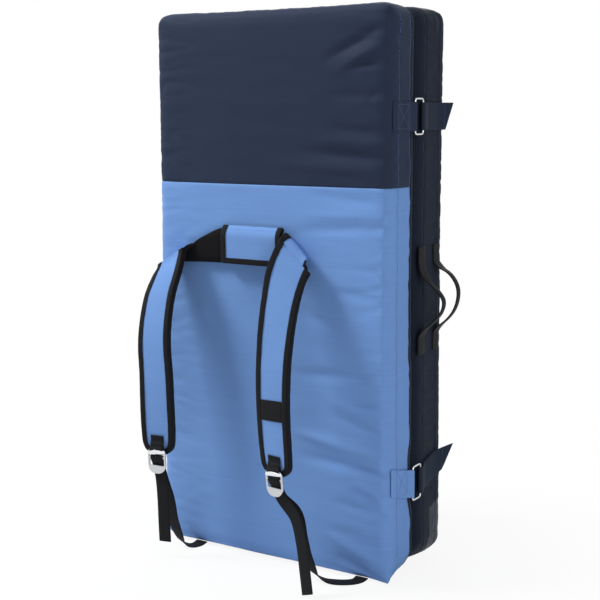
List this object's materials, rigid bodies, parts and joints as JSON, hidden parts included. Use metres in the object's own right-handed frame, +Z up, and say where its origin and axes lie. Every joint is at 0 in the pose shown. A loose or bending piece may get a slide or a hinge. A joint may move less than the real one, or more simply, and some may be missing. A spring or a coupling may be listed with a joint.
{
  "type": "bouldering crash pad",
  "caption": "Folded foam landing pad for bouldering, carried like a rucksack, with padded shoulder straps, strap-and-ring closures and side handles.",
  "frame": {"origin": "on the floor, at the middle of the flat base of the carry half (the half with the shoulder straps), pad closed and standing on its short side", "axes": "+Z up along the pad's length; -Y out of the face with the shoulder straps, +Y towards the rear half; +X towards the open side with the closures, the fold is on -X"},
  "size_m": [0.5471, 0.3239, 0.9995],
  "materials": {
    "navy_fabric": "matte coated polyester, fine plain weave",
    "blue_fabric": "matte light-blue polyester, fine plain weave",
    "black_webbing": "woven black polyester webbing",
    "black_mesh": "black spacer mesh",
    "black_binding": "black ribbed binding tape",
    "closure_webbing": "dark navy loop fabric with hemmed edges",
    "grey_reinforcement": "coated grey reinforcement fabric",
    "buckle_metal": "satin bright metal",
    "ring_metal": "bright plated wire",
    "zip_coil": "black nylon coil and tape",
    "slider_metal": "dark painted slider",
    "soft_foam": "open-cell foam",
    "firm_foam": "closed-cell foam"
  },
  "bodies": {
    "carry_half": {"carry_face_panel_upper": "navy_fabric", "carry_face_panel_lower": "blue_fabric", "carry_gusset_upper": "navy_fabric", "carry_gusset_lower": "blue_fabric", "carry_landing_panel": "navy_fabric", "carry_base_foam": "firm_foam", "carry_core_foam": "soft_foam", "carry_landing_foam": "firm_foam", "carry_zip": "zip_coil", "fold_hinge_strip": "navy_fabric", "upper_ring_tab": "navy_fabric", "lower_ring_tab": "blue_fabric", "yoke_face": "blue_fabric", "yoke_padding": "soft_foam", "yoke_back": "black_mesh", "yoke_binding": "black_binding", "left_strap_sewn_end": "black_mesh", "right_strap_sewn_end": "black_mesh", "left_strap_fold": "blue_fabric", "right_strap_fold": "blue_fabric", "left_webbing_run": "black_webbing", "right_webbing_run": "black_webbing"},
    "rear_half": {"rear_face_panel": "navy_fabric", "rear_gusset": "navy_fabric", "rear_landing_panel": "navy_fabric", "rear_corner_patch_left": "grey_reinforcement", "rear_corner_patch_right": "grey_reinforcement", "rear_base_foam": "firm_foam", "rear_core_foam": "soft_foam", "rear_landing_foam": "firm_foam", "rear_zip": "zip_coil", "upper_closure_strap": "closure_webbing", "lower_closure_strap": "closure_webbing", "inner_side_handle": "black_webbing", "outer_side_handle": "black_webbing"},
    "carry_zip_slider_body": {"carry_zip_slider": "slider_metal"},
    "rear_zip_slider_body": {"rear_zip_slider": "slider_metal"},
    "upper_ring": {"upper_closure_ring": "ring_metal"},
    "lower_ring": {"lower_closure_ring": "ring_metal"},
    "left_shoulder_strap": {"left_strap_face": "blue_fabric", "left_strap_padding": "soft_foam", "left_strap_mesh": "black_mesh", "left_strap_binding": "black_binding", "left_buckle_tab": "black_webbing"},
    "right_shoulder_strap": {"right_strap_face": "blue_fabric", "right_strap_padding": "soft_foam", "right_strap_mesh": "black_mesh", "right_strap_binding": "black_binding", "right_buckle_tab": "black_webbing", "right_strap_band": "black_webbing"},
    "left_buckle_body": {"left_buckle": "buckle_metal", "left_webbing_tail": "black_webbing"},
    "right_buckle_body": {"right_buckle": "buckle_metal", "right_webbing_tail": "black_webbing"}
  },
  "joints": [
    {"name": "fold", "type": "hinge", "parent": "carry_half", "child": "rear_half", "pos_m": [-0.2536, 0.05015, 0], "axis": [0, 0, 1], "range_deg": [0, 180], "deforming": ["fold_hinge_strip", "upper_closure_strap", "lower_closure_strap"]},
    {"name": "upper_ring_turn", "type": "hinge", "parent": "carry_half", "child": "upper_ring", "pos_m": [0.2517, 0.03165, 0.81], "axis": [0, 0, -1], "range_deg": [0, 140], "deforming": ["upper_closure_strap"]},
    {"name": "lower_ring_turn", "type": "hinge", "parent": "carry_half", "child": "lower_ring", "pos_m": [0.25199, 0.03165, 0.1635], "axis": [0, 0, -1], "range_deg": [0, 140], "deforming": ["lower_closure_strap"]},
    {"name": "carry_zip_slide", "type": "slide", "parent": "carry_half", "child": "carry_zip_slider_body", "axis": [0, 0, 1], "range_m": [0, 0.838]},
    {"name": "rear_zip_slide", "type": "slide", "parent": "rear_half", "child": "rear_zip_slider_body", "axis": [0, 0, 1], "range_m": [0, 0.838]},
    {"name": "left_strap_swing", "type": "hinge", "parent": "carry_half", "child": "left_shoulder_strap", "pos_m": [-0.19285, -0.0822, 0.55446], "axis": [-0.8542, 0, -0.5199], "range_deg": [0, 25], "deforming": ["left_webbing_run"]},
    {"name": "right_strap_swing", "type": "hinge", "parent": "carry_half", "child": "right_shoulder_strap", "pos_m": [0.07672, -0.08223, 0.56982], "axis": [-0.7336, 0, 0.6795], "range_deg": [0, 25], "deforming": ["right_webbing_run"]},
    {"name": "left_buckle_tilt", "type": "hinge", "parent": "left_shoulder_strap", "child": "left_buckle_body", "pos_m": [-0.18577, -0.14088, 0.20207], "axis": [-0.9922, -0.1244, 0.0008], "range_deg": [0, 35], "deforming": ["left_webbing_run"]},
    {"name": "right_buckle_tilt", "type": "hinge", "parent": "right_shoulder_strap", "child": "right_buckle_body", "pos_m": [0.07148, -0.14106, 0.20203], "axis": [-0.9908, 0.135, -0.0013], "range_deg": [0, 35], "deforming": ["right_webbing_run"]}
  ]
}
